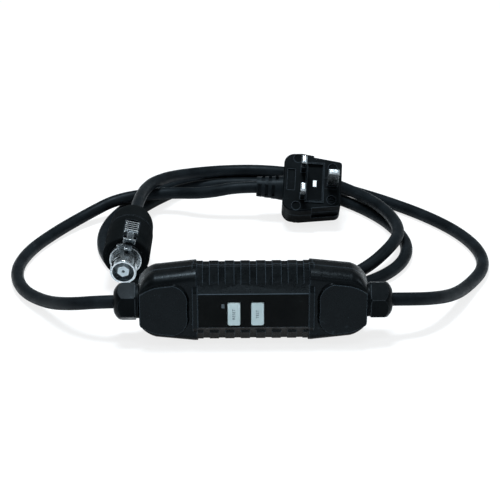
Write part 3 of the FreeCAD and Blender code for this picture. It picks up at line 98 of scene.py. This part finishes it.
# Nodes with softened edges, those with the finer rounds, and those with another finish than their slot's
SOFT_NODES = ["front_shell", "back_shell", "button_panel", "reset_button", "test_button", "case_screws",
              "line_gland_nut", "load_gland_nut", "line_gland_body", "load_gland_body", "plug_cover",
              "plug_base", "fuse_carrier", "plug_boot", "line_neutral_pins", "earth_pin", "plug_screws",
              "conn_shell", "conn_cap", "conn_barrel", "conn_flange", "conn_post", "latch_slider"]
FINE_NODES = ["latch_slider", "plug_screws", "case_screws", "fuse_carrier", "button_panel", "conn_flange"]
# The fuse carrier and the plug's screws take a darker copy of the plug's plastic, as painted shade on their
# sunk places.
OWN_MATERIALS = {"fuse_carrier": "shaded_plug_plastic", "plug_screws": "shaded_plug_plastic",
                 "conn_flange": "flange_metal", "conn_insert": "insert_plastic"}

# Colours that several finishes share
BLACK = (0.0011, 0.0014, 0.0016)
GREY = (0.0024, 0.0031, 0.0035)
DUST = (0.042, 0.056, 0.068)
SMEAR = (0.022, 0.026, 0.029)
# The next two are painted highlights laid along edges: on the case's plastic, and on the metals.
PAINTED_EDGE_HIGHLIGHT = (0.03, 0.04, 0.049)
PAINTED_METAL_HIGHLIGHT = (0.86, 0.9, 0.92)
COOL_GLOSS = (0.74, 0.89, 1.0)

# Scales of the surface detail, in features to the metre
SPOT_SCALE = 28.0
CLOUD_SCALE = 55.0
SMUDGE_SCALE = 90.0
WAVE_SCALE = 120.0
SCRATCH_SCALE = 160.0
SHEEN_SCALE = 240.0
BRUSH_SCALE = 900.0
GRAIN_SCALE = 2200.0

# Depths of the surface detail, in metres, and how far edges and creases reach, in millimetres
WAVE_DEPTH = 0.0003
GRAIN_DEPTH = 0.00006
BRUSH_DEPTH = 0.00004
EDGE_REACH = 0.5
CREASE_REACH = 1.6

# Stretches of a noise along X, Y and Z: even, scratches, and the ways that metals are brushed
EVEN = (1.0, 1.0, 1.0)
SCRATCHED = (1.0, 0.22, 2.4)
BRUSHED_LONG = (1.0, 6.0, 1.0)
BRUSHED_LATCH = (1.0, 4.0, 1.0)
BRUSHED_ACROSS = (4.0, 1.0, 1.0)

# Floor: its reach and drop in metres, and how much of it looks plain white to the camera and in reflections
FLOOR_REACH = 6.0
FLOOR_DROP = 0.0002
FLOOR_COLOUR = (0.88, 0.89, 0.9)
WHITE_TO_CAMERA = 0.8
WHITE_IN_GLOSS = 0.25

# Studio: a slightly cool light, the sky's level by the sine of its height, and the lamps in metres and watts
LIGHT_TINT = (0.87, 0.95, 1.0)
SKY = [(0.0, 0.7), (0.14, 0.7), (0.3, 0.14), (0.6, 0.2), (0.85, 0.3), (1.0, 0.42)]
CORDS_FRONT = (0, 0.05, 0)
BOX_FOOT = (0, 0, 0)
LAMPS = [
    {"name": "overhead", "place": (-0.06, 0.16, 1.3), "aim": CORDS_FRONT, "size": (0.5, 0.2), "power": 27.0},
    {"name": "forward", "place": (0.0, -0.5, 1.27), "aim": BOX_FOOT, "size": (0.6, 0.18), "power": 3.2},
    {"name": "left", "place": (-1.1, 0.1, 0.7), "aim": CORDS_FRONT, "size": (0.4, 0.3), "power": 1.4},
    {"name": "right", "place": (1.0, 0.1, 0.7), "aim": CORDS_FRONT, "size": (0.4, 0.3), "power": 1.8},
    {"name": "front", "place": (0.4, -1.3, 0.8), "aim": CORDS_FRONT, "size": (0.9, 0.5), "power": 2.0}]


def make_camera():
    data = bpy.data.cameras.new("camera")
    data.lens = CAMERA_LENS
    data.sensor_width = SENSOR_WIDTH
    camera = bpy.data.objects.new("camera", data)
    camera.location = CAMERA_PLACE
    camera.rotation_euler = (math.radians(90.0 - CAMERA_DROP), 0.0, math.radians(CAMERA_TURN))
    bpy.context.collection.objects.link(camera)
    bpy.context.scene.camera = camera


def make_cord_curve(name, route):
    curve = bpy.data.curves.new(name, "CURVE")
    curve.dimensions = "3D"
    spline = curve.splines.new("NURBS")
    spline.points.add(len(route) - 1)
    for point, place in zip(spline.points, route):
        point.co = (place[0] * MM, place[1] * MM, place[2] * MM, 1.0)
    spline.order_u = 3
    spline.use_endpoint_u = True
    spline.resolution_u = 10
    curve.bevel_depth = CORD_RADIUS * MM
    curve.bevel_resolution = 8
    curve.use_fill_caps = True
    cord = bpy.data.objects.new(name, curve)
    bpy.context.collection.objects.link(cord)
    return cord


def make_cord(node, route, material):
    """A cord, drawn as a curve on the case, that stands for its solid tube."""
    cord = make_cord_curve(node + "_run", route)
    cord.data.materials.append(material)
    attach(cord, "case")
    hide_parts(node)
    return cord


# Materials

class Graph:
    """One new material and a small helper around its nodes."""

    def __init__(self, name):
        self.material = bpy.data.materials.new(name)
        self.material.use_nodes = True
        self.tree = self.material.node_tree
        self.tree.nodes.clear()
        out = self.add("ShaderNodeOutputMaterial")
        self.shader = self.add("ShaderNodeBsdfPrincipled")
        self.link(self.shader.outputs["BSDF"], out.inputs["Surface"])
        self.place = self.add("ShaderNodeTexCoord").outputs["Object"]

    def add(self, kind, **values):
        node = self.tree.nodes.new(kind)
        for key, value in values.items():
            setattr(node, key, value)
        return node

    def link(self, source, target):
        self.tree.links.new(source, target)

    def noise(self, scale, detail=3.0, rough=0.55, stretch=None):
        node = self.add("ShaderNodeTexNoise")
        node.inputs["Scale"].default_value = scale
        node.inputs["Detail"].default_value = detail
        node.inputs["Roughness"].default_value = rough
        source = self.place
        if stretch is not None:
            mapping = self.add("ShaderNodeMapping")
            mapping.inputs["Scale"].default_value = stretch
            self.link(self.place, mapping.inputs["Vector"])
            source = mapping.outputs["Vector"]
        self.link(source, node.inputs["Vector"])
        return node.outputs["Fac"]

    def ramp(self, source, low, high, dark, light):
        node = self.add("ShaderNodeValToRGB")
        node.color_ramp.elements[0].position = low
        node.color_ramp.elements[1].position = high
        node.color_ramp.elements[0].color = (*dark, 1.0)
        node.color_ramp.elements[1].color = (*light, 1.0)
        self.link(source, node.inputs["Fac"])
        return node.outputs["Color"]

    def spread(self, source, low, high, at_low, at_high):
        node = self.add("ShaderNodeMapRange")
        node.inputs["From Min"].default_value = low
        node.inputs["From Max"].default_value = high
        node.inputs["To Min"].default_value = at_low
        node.inputs["To Max"].default_value = at_high
        self.link(source, node.inputs["Value"])
        return node.outputs["Result"]

    def mix(self, factor, a, b):
        """From a to b, each a link or a plain colour; the node's inputs 6 and 7 are its colours."""
        node = self.add("ShaderNodeMix", data_type="RGBA")
        self.link(factor, node.inputs["Factor"])
        for index, value in ((6, a), (7, b)):
            if isinstance(value, tuple):
                node.inputs[index].default_value = (*value, 1.0)
            else:
                self.link(value, node.inputs[index])
        return node.outputs[2]

    def bump(self, source, strength, distance, below=None):
        node = self.add("ShaderNodeBump")
        node.inputs["Strength"].default_value = strength
        node.inputs["Distance"].default_value = distance
        self.link(source, node.inputs["Height"])
        if below is not None:
            self.link(below, node.inputs["Normal"])
        return node.outputs["Normal"]

    def near(self, reach, inside, low, high):
        """From 1 at an edge, or at a crease where inside is False, to 0 on open faces."""
        node = self.add("ShaderNodeAmbientOcclusion", samples=8, inside=inside, only_local=True)
        node.inputs["Distance"].default_value = reach * MM
        return self.spread(node.outputs["AO"], low, high, 1.0, 0.0)

    def edged(self, colour, reach, at_edge, in_crease, deepest=0.5):
        """Painted highlights on edges and painted shade in creases, over a colour."""
        edge = self.near(EDGE_REACH, True, 0.6, 0.92)
        crease = self.near(reach, False, deepest, 0.95)
        return self.mix(crease, self.mix(edge, colour, at_edge), in_crease)

    def scuffs(self, amount=0.5):
        """Sparse long scratches and rubbed spots, from 0 to amount."""
        lines = self.noise(SCRATCH_SCALE, 6.0, 0.7, SCRATCHED)
        spots = self.noise(SPOT_SCALE, 2.0)
        node = self.add("ShaderNodeMath", operation="MULTIPLY")
        self.link(self.spread(lines, 0.6, 0.72, 0.0, amount), node.inputs[0])
        self.link(self.spread(spots, 0.5, 0.66, 0.0, 1.0), node.inputs[1])
        return node.outputs[0]


def moulded(name, dark, light, rough, grain=GRAIN_SCALE, grain_depth=GRAIN_DEPTH, gloss=0.3, wear=SMEAR,
            edge=None, shade=0.3):
    """Moulded plastic or rubber: cloudy colour, fine grain, a few rubbed marks, and where an edge colour is
    given, painted highlights on edges and painted shade in creases.
    """
    g = Graph(name)
    cloud = g.noise(CLOUD_SCALE, 4.0)
    colour = g.ramp(cloud, 0.35, 0.7, dark, light)
    worn = g.mix(g.scuffs(), colour, wear)
    # Painted highlights along edges and painted shade in creases, the shade a fraction of the dark colour.
    if edge is not None:
        worn = g.edged(worn, CREASE_REACH, edge, tuple(shade * part for part in dark))
    g.link(worn, g.shader.inputs["Base Color"])
    sheen = g.noise(SHEEN_SCALE, 5.0)
    g.link(g.spread(sheen, 0.3, 0.7, rough - 0.07, rough + 0.09), g.shader.inputs["Roughness"])
    fine = g.bump(g.noise(grain, 2.0), 0.35, grain_depth)
    g.link(g.bump(g.noise(WAVE_SCALE, 3.0), 0.12, WAVE_DEPTH, fine), g.shader.inputs["Normal"])
    g.shader.inputs["Specular IOR Level"].default_value = gloss
    g.shader.inputs["Specular Tint"].default_value = (*COOL_GLOSS, 1.0)
    return g.material


def metal(name, dark, light, rough, stretch=EVEN, edge=None, reach=CREASE_REACH, deepest=0.5):
    """Plated metal with fine brushing along one direction, and where an edge colour is given, painted shade
    in its creases and painted highlights on its edges.
    """
    g = Graph(name)
    brushed = g.noise(BRUSH_SCALE, 4.0, 0.6, stretch)
    colour = g.ramp(brushed, 0.3, 0.7, dark, light)
    smudge = g.noise(SMUDGE_SCALE, 3.0)
    tone = g.mix(g.spread(smudge, 0.45, 0.75, 0.0, 0.45), colour, dark)
    # Painted highlights along edges and painted shade in creases, the shade nearly black.
    if edge is not None:
        tone = g.edged(tone, reach, edge, tuple(0.1 * part for part in dark), deepest)
    g.link(tone, g.shader.inputs["Base Color"])
    g.link(g.spread(brushed, 0.3, 0.7, rough - 0.06, rough + 0.1), g.shader.inputs["Roughness"])
    g.link(g.bump(brushed, 0.25, BRUSH_DEPTH), g.shader.inputs["Normal"])
    g.shader.inputs["Metallic"].default_value = 1.0
    return g.material


# Looks of the box and the cords
# An "edge" colour below is a painted highlight along edges, and with it comes painted shade in creases.
BOX_LOOKS = {
    "case_plastic": {"dark": BLACK, "light": GREY, "rough": 0.28, "grain": 1000.0, "grain_depth": 0.00016,
                     "gloss": 0.085, "wear": DUST, "edge": PAINTED_EDGE_HIGHLIGHT},
    "panel_plastic": {"dark": (0.0029, 0.0031, 0.0031), "light": (0.005, 0.0053, 0.0053), "rough": 0.5,
                      "grain": 2600.0, "grain_depth": 0.00005, "gloss": 0.02},
    "button_plastic": {"dark": (0.34, 0.415, 0.425), "light": (0.425, 0.5, 0.505), "rough": 0.42,
                       "grain": 1800.0, "grain_depth": 0.00004, "wear": (0.55, 0.61, 0.62)},
    "lens": {"dark": (0.02, 0.026, 0.03), "light": (0.045, 0.055, 0.062), "rough": 0.2, "grain": 900.0,
             "grain_depth": 0.00002, "gloss": 0.5, "wear": (0.08, 0.09, 0.1)},
    "gland_plastic": {"dark": BLACK, "light": GREY, "rough": 0.32, "grain": 1400.0, "grain_depth": 0.00005,
                      "gloss": 0.03, "wear": DUST, "edge": (0.045, 0.054, 0.062)},
    "cord_rubber": {"dark": (0.0024, 0.0033, 0.0041), "light": (0.0064, 0.0086, 0.0104), "rough": 0.44,
                    "grain": 1300.0, "grain_depth": 0.0001, "gloss": 0.05}}

# Looks of the pieces inside
INNER_LOOKS = {
    "inner_plastic": {"dark": (0.02, 0.022, 0.025), "light": (0.04, 0.044, 0.05), "rough": 0.55},
    "seal_rubber": {"dark": (0.003, 0.0035, 0.004), "light": (0.006, 0.007, 0.008), "rough": 0.7},
    "core_rubber": {"dark": (0.25, 0.12, 0.04), "light": (0.3, 0.16, 0.06), "rough": 0.5},
    "board": {"dark": (0.01, 0.06, 0.025), "light": (0.015, 0.09, 0.035), "rough": 0.4},
    "coil": {"dark": (0.12, 0.035, 0.012), "light": (0.2, 0.06, 0.02), "rough": 0.4}}

# Looks of the plug
PLUG_LOOKS = {
    # The plug's "edge" colour is a painted highlight along its edges, with painted shade in its creases.
    "plug_plastic": {"dark": BLACK, "light": (0.003, 0.004, 0.0047), "rough": 0.42, "grain": 1200.0,
                     "grain_depth": 0.0001, "gloss": 0.014, "wear": DUST, "edge": (0.03, 0.038, 0.045)},
    # A darker copy of the plug's plastic, with darker marks and edges, as painted shade on the sunk carrier
    # and screws.
    "shaded_plug_plastic": {"dark": (0.0012, 0.0016, 0.0018), "light": (0.0024, 0.0031, 0.0036), "rough": 0.5,
                        "grain": 1500.0, "grain_depth": 0.00008, "gloss": 0.01,
                        "wear": (0.008, 0.01, 0.012), "edge": (0.012, 0.015, 0.018)},
    "fuse_ceramic": {"dark": (0.62, 0.66, 0.66), "light": (0.74, 0.77, 0.77), "rough": 0.25, "grain": 800.0,
                     "grain_depth": 0.00002, "gloss": 0.5, "wear": (0.7, 0.72, 0.72)}}

# Looks of the connector
CONNECTOR_LOOKS = {
    # The shell's "edge" colour is a painted highlight along edges, with painted shade in creases.
    "conn_plastic": {"dark": (0.003, 0.0037, 0.004), "light": (0.005, 0.006, 0.0065), "rough": 0.6,
                     "grain": 1800.0, "grain_depth": 0.00005, "gloss": 0.002,
                     "wear": (0.02, 0.024, 0.027), "edge": (0.03, 0.036, 0.042)},
    "insert_plastic": {"dark": (0.16, 0.19, 0.2), "light": (0.26, 0.3, 0.32), "rough": 0.5, "grain": 1800.0,
                       "grain_depth": 0.00005, "gloss": 0.2, "wear": (0.3, 0.34, 0.36)},
    # The post's lighter "edge" is a painted highlight, and its "shade" of 0.01 paints its hole nearly black
    # as painted shade.
    "post_plastic": {"dark": (0.5, 0.58, 0.62), "light": (0.62, 0.7, 0.74), "rough": 0.4, "grain": 1800.0,
                     "grain_depth": 0.00003, "gloss": 0.4, "wear": (0.66, 0.72, 0.76),
                     "edge": (0.7, 0.77, 0.8), "shade": 0.01}}

# Looks of the metals
# Each "edge" colour below is a painted highlight along edges, with painted shade in creases.
METAL_LOOKS = {
    "conn_metal": {"dark": (0.13, 0.155, 0.17), "light": (0.66, 0.72, 0.75), "rough": 0.2,
                   "stretch": BRUSHED_LONG, "edge": PAINTED_METAL_HIGHLIGHT},
    "flange_metal": {"dark": (0.08, 0.094, 0.1), "light": (0.4, 0.44, 0.47), "rough": 0.26,
                     "stretch": BRUSHED_LONG, "edge": PAINTED_METAL_HIGHLIGHT},
    # The latch's longer "reach" and higher "deepest" make the painted shade between its ridges darker and
    # wider.
    "latch_metal": {"dark": (0.05, 0.06, 0.066), "light": (0.35, 0.4, 0.44), "rough": 0.26,
                    "stretch": BRUSHED_LATCH, "edge": PAINTED_METAL_HIGHLIGHT, "reach": 2.6, "deepest": 0.74},
    "pin_metal": {"dark": (0.22, 0.25, 0.27), "light": (0.64, 0.68, 0.7), "rough": 0.24,
                  "stretch": BRUSHED_ACROSS, "edge": (0.8, 0.84, 0.86)},
    "steel": {"dark": (0.004, 0.005, 0.006), "light": (0.016, 0.019, 0.021), "rough": 0.34},
    "brass": {"dark": (0.45, 0.32, 0.12), "light": (0.62, 0.46, 0.2), "rough": 0.3}}


def make_materials():
    plastics = {**BOX_LOOKS, **INNER_LOOKS, **PLUG_LOOKS, **CONNECTOR_LOOKS}
    made = {name: moulded(name, **look) for name, look in plastics.items()}
    for name, look in METAL_LOOKS.items():
        made[name] = metal(name, **look)
    return made


# Solids

def soften(solid, width):
    """Small rounds on the sharp edges of a solid, as a mould or a tumbler leaves them."""
    weld = solid.modifiers.new("weld", "WELD")
    weld.merge_threshold = WELD_REACH * MM
    bevel = solid.modifiers.new("round", "BEVEL")
    bevel.width = width * MM
    bevel.segments = 2
    bevel.limit_method = "ANGLE"
    bevel.angle_limit = math.radians(EDGE_ANGLE)
    bevel.use_clamp_overlap = True
    bevel.harden_normals = False
    shade = solid.modifiers.new("shade", "WEIGHTED_NORMAL")
    shade.mode = "FACE_AREA_WITH_ANGLE"
    shade.weight = 80
    shade.keep_sharp = False


def dress_solids(materials):
    slots = {row["node"]: row["material_slot"] for row in frame["record"]["subparts"]}
    for name, solid in frame["nodes"].items():
        for holder in solid.material_slots:
            holder.material = materials[OWN_MATERIALS.get(name, slots[name])]
        if name in SOFT_NODES:
            soften(solid, FINE_EDGE_SOFT if name in FINE_NODES else EDGE_SOFT)


def letter_button(word, x, body, material):
    """A word across one button, read from its foot upwards, as a thin moulded print."""
    font = bpy.data.curves.new(word, "FONT")
    font.body = word
    font.size = LETTER_HEIGHT * MM
    font.align_x = "CENTER"
    font.align_y = "CENTER"
    font.space_character = LETTER_SPREAD
    font.extrude = LETTER_PROUD * MM
    font.resolution_u = 3
    holder = bpy.data.objects.new(word, font)
    bpy.context.collection.objects.link(holder)
    graph = bpy.context.evaluated_depsgraph_get()
    mesh = bpy.data.meshes.new_from_object(holder.evaluated_get(graph))
    bpy.data.objects.remove(holder)
    upward = Matrix(((0, -1, 0, x * MM),
                     (0, 0, -1, BUTTON_FRONT * MM),
                     (1, 0, 0, BUTTON_MIDDLE * MM),
                     (0, 0, 0, 1)))
    mesh.transform(upward)
    mesh.materials.clear()
    mesh.materials.append(material)
    letters = bpy.data.objects.new(word.lower() + "_letters", mesh)
    bpy.context.collection.objects.link(letters)
    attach(letters, body)


# Stage

def floor_material():
    """Matt and pale, and plain white to the camera and, in part, in reflections."""
    material = bpy.data.materials.new("floor")
    material.use_nodes = True
    tree = material.node_tree
    tree.nodes.clear()
    out = tree.nodes.new("ShaderNodeOutputMaterial")
    matt = tree.nodes.new("ShaderNodeBsdfDiffuse")
    matt.inputs["Color"].default_value = (*FLOOR_COLOUR, 1.0)
    plain = tree.nodes.new("ShaderNodeEmission")
    plain.inputs["Strength"].default_value = 1.0
    rays = tree.nodes.new("ShaderNodeLightPath")
    share = tree.nodes.new("ShaderNodeMath")
    share.operation = "MAXIMUM"
    whites = (("Is Camera Ray", WHITE_TO_CAMERA), ("Is Glossy Ray", WHITE_IN_GLOSS))
    for index, (kind, white) in enumerate(whites):
        part = tree.nodes.new("ShaderNodeMath")
        part.operation = "MULTIPLY"
        part.inputs[1].default_value = white
        tree.links.new(rays.outputs[kind], part.inputs[0])
        tree.links.new(part.outputs[0], share.inputs[index])
    mix = tree.nodes.new("ShaderNodeMixShader")
    tree.links.new(share.outputs[0], mix.inputs["Fac"])
    tree.links.new(matt.outputs["BSDF"], mix.inputs[1])
    tree.links.new(plain.outputs["Emission"], mix.inputs[2])
    tree.links.new(mix.outputs["Shader"], out.inputs["Surface"])
    return material


def make_floor():
    mesh = bpy.data.meshes.new("floor")
    corners = [(-FLOOR_REACH, -FLOOR_REACH, 0), (FLOOR_REACH, -FLOOR_REACH, 0),
               (FLOOR_REACH, FLOOR_REACH, 0), (-FLOOR_REACH, FLOOR_REACH, 0)]
    mesh.from_pydata(corners, [], [(0, 1, 2, 3)])
    mesh.materials.append(floor_material())
    floor = bpy.data.objects.new("floor", mesh)
    floor.location.z = -FLOOR_DROP
    bpy.context.collection.objects.link(floor)


def make_light(name, place, aim, size, power):
    data = bpy.data.lights.new(name, "AREA")
    data.shape = "RECTANGLE"
    data.size, data.size_y = size
    data.energy = power
    data.color = LIGHT_TINT
    light = bpy.data.objects.new(name, data)
    light.location = place
    light.rotation_euler = (Vector(aim) - Vector(place)).to_track_quat("-Z", "Y").to_euler()
    bpy.context.collection.objects.link(light)


def make_studio():
    world = bpy.data.worlds.new("studio")
    world.use_nodes = True
    tree = world.node_tree
    place = tree.nodes.new("ShaderNodeTexCoord")
    parts = tree.nodes.new("ShaderNodeSeparateXYZ")
    ramp = tree.nodes.new("ShaderNodeValToRGB")
    stops = ramp.color_ramp.elements
    while len(stops) < len(SKY):
        stops.new(0.5)
    for stop, (height, level) in zip(stops, SKY):
        stop.position = height
        stop.color = (*[level * part for part in LIGHT_TINT], 1.0)
    tree.links.new(place.outputs["Generated"], parts.inputs["Vector"])
    tree.links.new(parts.outputs["Z"], ramp.inputs["Fac"])
    tree.links.new(ramp.outputs["Color"], tree.nodes["Background"].inputs["Color"])
    bpy.context.scene.world = world
    for lamp in LAMPS:
        make_light(**lamp)


make_camera()
bpy.context.scene.view_settings.view_transform = "Standard"
materials = make_materials()
line_cord = make_cord("line_cord", LINE_ROUTE, materials["cord_rubber"])
load_cord = make_cord("load_cord", LOAD_ROUTE, materials["cord_rubber"])
dress_solids(materials)
letter_button("RESET", RESET_X, "reset_button", materials["case_plastic"])
letter_button("TEST", TEST_X, "test_button", materials["case_plastic"])
make_floor()
make_studio()
bpy.context.view_layer.update()
